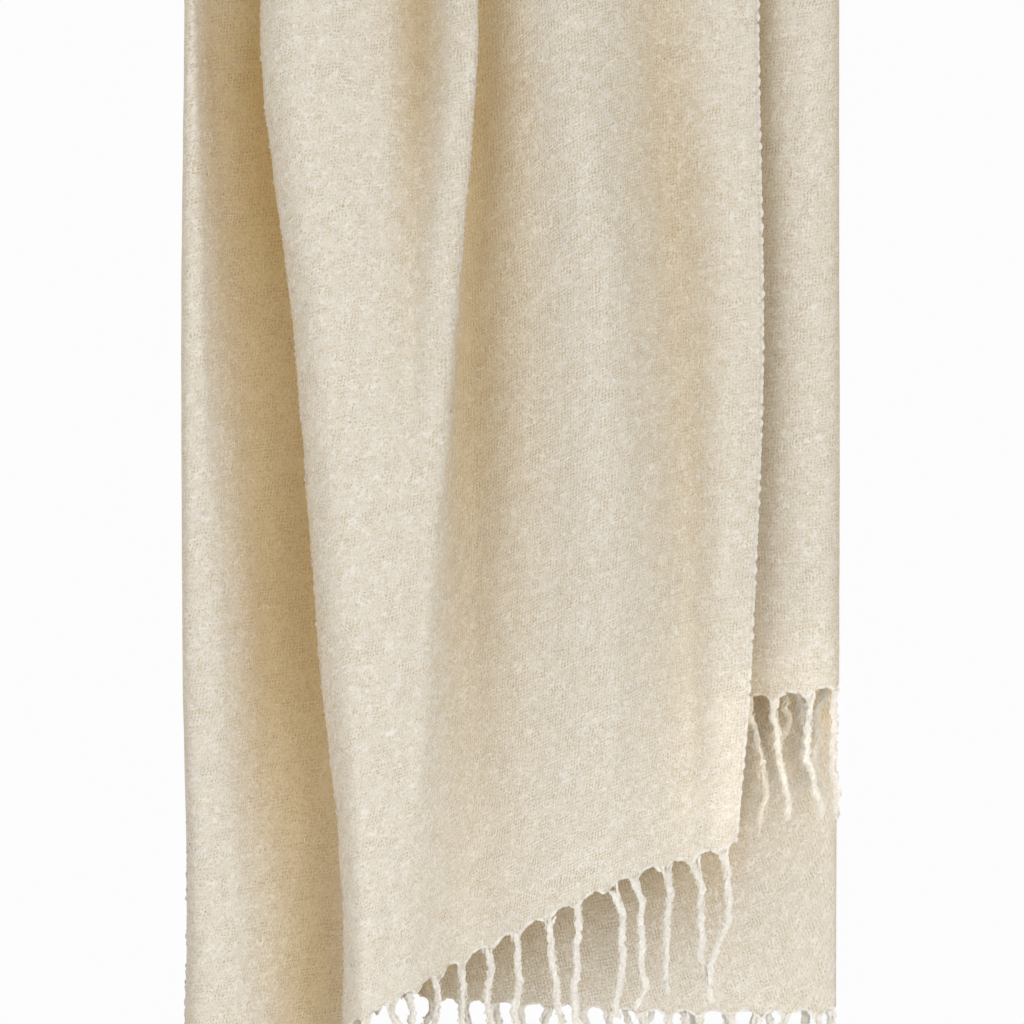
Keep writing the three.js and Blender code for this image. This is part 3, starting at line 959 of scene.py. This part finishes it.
def cloth_material():
    """Cream boucle weave: an uneven plain weave with small open holes, nubs and felted patches."""
    material = bpy.data.materials.new("boucle_weave")
    pattern = Pattern(material)
    place = pattern.add("UVMap", uv_map="weave").outputs["UV"]
    wander = pattern.noise(place, 300, output="Color")
    bent = pattern.wandering(place, wander, 3.4 * MM)
    stretch = pattern.add("Mapping")
    stretch.inputs["Scale"].default_value = (1.35, 0.62, 1)
    pattern.links.new(bent, stretch.inputs["Vector"])
    stretched = stretch.outputs[0]

    coarse = coarseness(pattern)
    hole = weave_holes(pattern, place, bent)
    nub = pattern.noise(place, 260)
    gap = yarn_gaps(pattern, stretched, nub)
    loop = lying_loops(pattern, place, bent)
    pale, dim = knots(pattern, place, wander, coarse)
    pit = pattern.ramp(pattern.noise(stretched, 1250, 1), 0.44, 0.32)
    pit = pattern.times(pit, 0.4, coarse)
    fibre = pattern.noise(stretched, 900)
    fleck = pattern.ramp(fibre, 0.48, 0.74)
    shade = pattern.math("MAXIMUM", pattern.times(gap, 0.8), pattern.times(fleck, 0.8))

    colour = pattern.blend(pattern.ramp(fibre, 0.52, 0.32), YARN_MID, YARN_LIGHT)
    for share, tone in (
        (shade, GAP_TAN),
        (pattern.times(hole, 0.65), HOLE_TAN),
        (pattern.times(loop, 0.85), CURL_LIGHT),
        (pale, CURL_LIGHT),
        (dim, GAP_TAN),
        (pit, GAP_TAN),
    ):
        colour = pattern.blend(share, colour, tone)

    height = pattern.times(pattern.plus(shade, hole), -1.0)
    height = pattern.plus(height, pattern.times(nub, 1.5), loop, pattern.math("SUBTRACT", pale, dim))
    height = pattern.times(pattern.math("SUBTRACT", height, pit), coarse)
    # The painted shade between the folds is multiplied over the weave's colour
    finish_wool(pattern, paint_shade_in_folds(pattern, colour, loop), pattern.bump(height, 0.42, 0.7 * MM))
    return material


def yarn_material(name, light, dark):
    """Looped yarn: fine fuzz and warm flecks between its turns."""
    material = bpy.data.materials.new(name)
    pattern = Pattern(material)
    place = pattern.add("TexCoord").outputs["Object"]
    fleck = pattern.noise(place, 520, 3)
    fuzz = pattern.noise(place, 1700)
    colour = pattern.blend(pattern.ramp(fleck, 0.62, 0.38), light, dark)
    height = pattern.plus(fuzz, fleck)
    # The painted shade is multiplied over the yarn's colour
    finish_wool(pattern, paint_shade_in_folds(pattern, colour), pattern.bump(height, 0.6, 0.5 * MM))
    return material


# The picture: 0.696 m square around the lower part of the throw, seen from straight in front
VIEW_WIDTH = 0.6963
VIEW_CENTRE = (0.0, -0.4298)
VIEW_PLANE_Y = -0.08
CAMERA_DISTANCE = 6.0
SENSOR_WIDTH = 36


def add_camera():
    """The camera, level and far enough away to show almost no perspective."""
    data = bpy.data.cameras.new("camera")
    data.sensor_width = SENSOR_WIDTH
    data.lens = SENSOR_WIDTH * CAMERA_DISTANCE / VIEW_WIDTH
    camera = bpy.data.objects.new("camera", data)
    camera.location = (VIEW_CENTRE[0], VIEW_PLANE_Y - CAMERA_DISTANCE, VIEW_CENTRE[1])
    camera.rotation_euler = (math.pi / 2, 0, 0)
    bpy.context.scene.collection.objects.link(camera)
    bpy.context.scene.camera = camera


# The soft lamps: place, what each aims at, width in metres, watts, colour and spread in degrees
COOL = (0.97, 1, 1.06)
GOLDEN = (1, 0.88, 0.66)
MIDDLE = (0, 0, -0.42)
LAMPS = {
    "right": ((1.6, -1.9, -0.5), MIDDLE, 1.4, 13.0, COOL, 180),
    "left": ((-1.7, -1.8, -0.5), MIDDLE, 2.2, 21, COOL, 180),
    "front": ((0.8, -2.3, 0.0), MIDDLE, 1.2, 6.0, COOL, 180),
    "low": ((0.7, -1.4, -0.95), (0.05, 0, -0.7), 0.7, 3.0, COOL, 180),
    "hem": ((0.3, -1.1, -0.96), (0.13, 0, -0.92), 0.5, 0.2, COOL, 34),
    "recess": ((0.4, -1.0, -0.97), (0.185, 0, -0.585), 0.1, 0.014, GOLDEN, 10),
    "back": ((-0.6, 2.2, 0.6), MIDDLE, 1.8, 14, COOL, 180),
}


def add_area_light(name, place, aim, size, watts, colour, spread):
    """A round soft lamp that faces what it aims at."""
    data = bpy.data.lights.new(name, "AREA")
    data.shape = "DISK"
    data.size = size
    data.energy = watts
    data.spread = math.radians(spread)
    data.color = colour
    lamp = bpy.data.objects.new(name, data)
    lamp.location = place
    direction = np.array(aim) - np.array(place)
    flat = math.hypot(direction[0], direction[1])
    lamp.rotation_euler = (
        math.atan2(flat, -direction[2]), 0, math.atan2(-direction[0], direction[1]))
    bpy.context.scene.collection.objects.link(lamp)


def floor_material():
    """A pale surface that the camera sees as mostly white, and that still takes shadows."""
    material = bpy.data.materials.new("floor_pale")
    pattern = Pattern(material)
    shader = pattern.nodes["Principled BSDF"]
    shader.inputs["Base Color"].default_value = (0.8, 0.79, 0.78, 1)
    shader.inputs["Roughness"].default_value = 0.9
    glow = pattern.add("Emission")
    glow.inputs["Color"].default_value = (1, 1, 1, 1)
    pattern.mix_shaders(pattern.times(pattern.camera_rays(), 0.6), shader, glow, "Material Output")
    return material


def add_floor():
    """A pale floor a little below the throw."""
    half_width, below = 1.8, 0.12
    bm = bmesh.new()
    bmesh.ops.create_grid(bm, x_segments=1, y_segments=1, size=half_width)
    bmesh.ops.translate(bm, verts=bm.verts, vec=(0, 0, cad_box[0][2] - below))
    mesh = bpy.data.meshes.new("floor")
    bm.to_mesh(mesh)
    bm.free()
    mesh.materials.append(floor_material())
    floor = bpy.data.objects.new("floor", mesh)
    bpy.context.scene.collection.objects.link(floor)


def add_world():
    """A warm pale sky that lights the throw, which the camera sees as plain white."""
    world = bpy.data.worlds.new("world")
    bpy.context.scene.world = world
    pattern = Pattern(world)
    lit = pattern.nodes["Background"]
    lit.inputs["Color"].default_value = (1, 0.91, 0.75, 1)
    lit.inputs["Strength"].default_value = 0.43
    seen = pattern.add("Background")
    seen.inputs["Color"].default_value = (0.98, 0.98, 0.985, 1)
    seen.inputs["Strength"].default_value = 1
    pattern.mix_shaders(pattern.camera_rays(), lit, seen, "World Output")


def main():
    bpy.context.scene.view_settings.view_transform = "Standard"
    add_camera()
    for name, lamp in LAMPS.items():
        add_area_light(name, *lamp)
    add_floor()
    add_world()
    cloth = Cloth()
    weave = cloth_material()
    felt = yarn_material("edge_felt", CURL_LIGHT, YARN_LIGHT)
    curl = yarn_material("curl_yarn", CURL_LIGHT, YARN_LIGHT)
    fringe = yarn_material("fringe_yarn", CURL_LIGHT, YARN_MID)
    sheet = build_cloth(cloth, weave)
    trims = [
        *build_fringe("fringe_in_front", cloth, 0, "front_fringe", SEED + 2, FRONT_SWINGS, fringe),
        *build_fringe("fringe_behind", cloth, -1, "back_fringe", SEED + 3, {}, fringe),
        build_edge("selvedge_panel", cloth, "right", SEED + 8, felt),
        build_edge("selvedge_inner", cloth, "left", SEED + 9, felt),
        build_edge("hem_in_front", cloth, "front", SEED + 12, felt),
        build_edge("hem_behind", cloth, "rear", SEED + 13, felt),
        *scatter_curls(cloth, curl),
    ]


main()
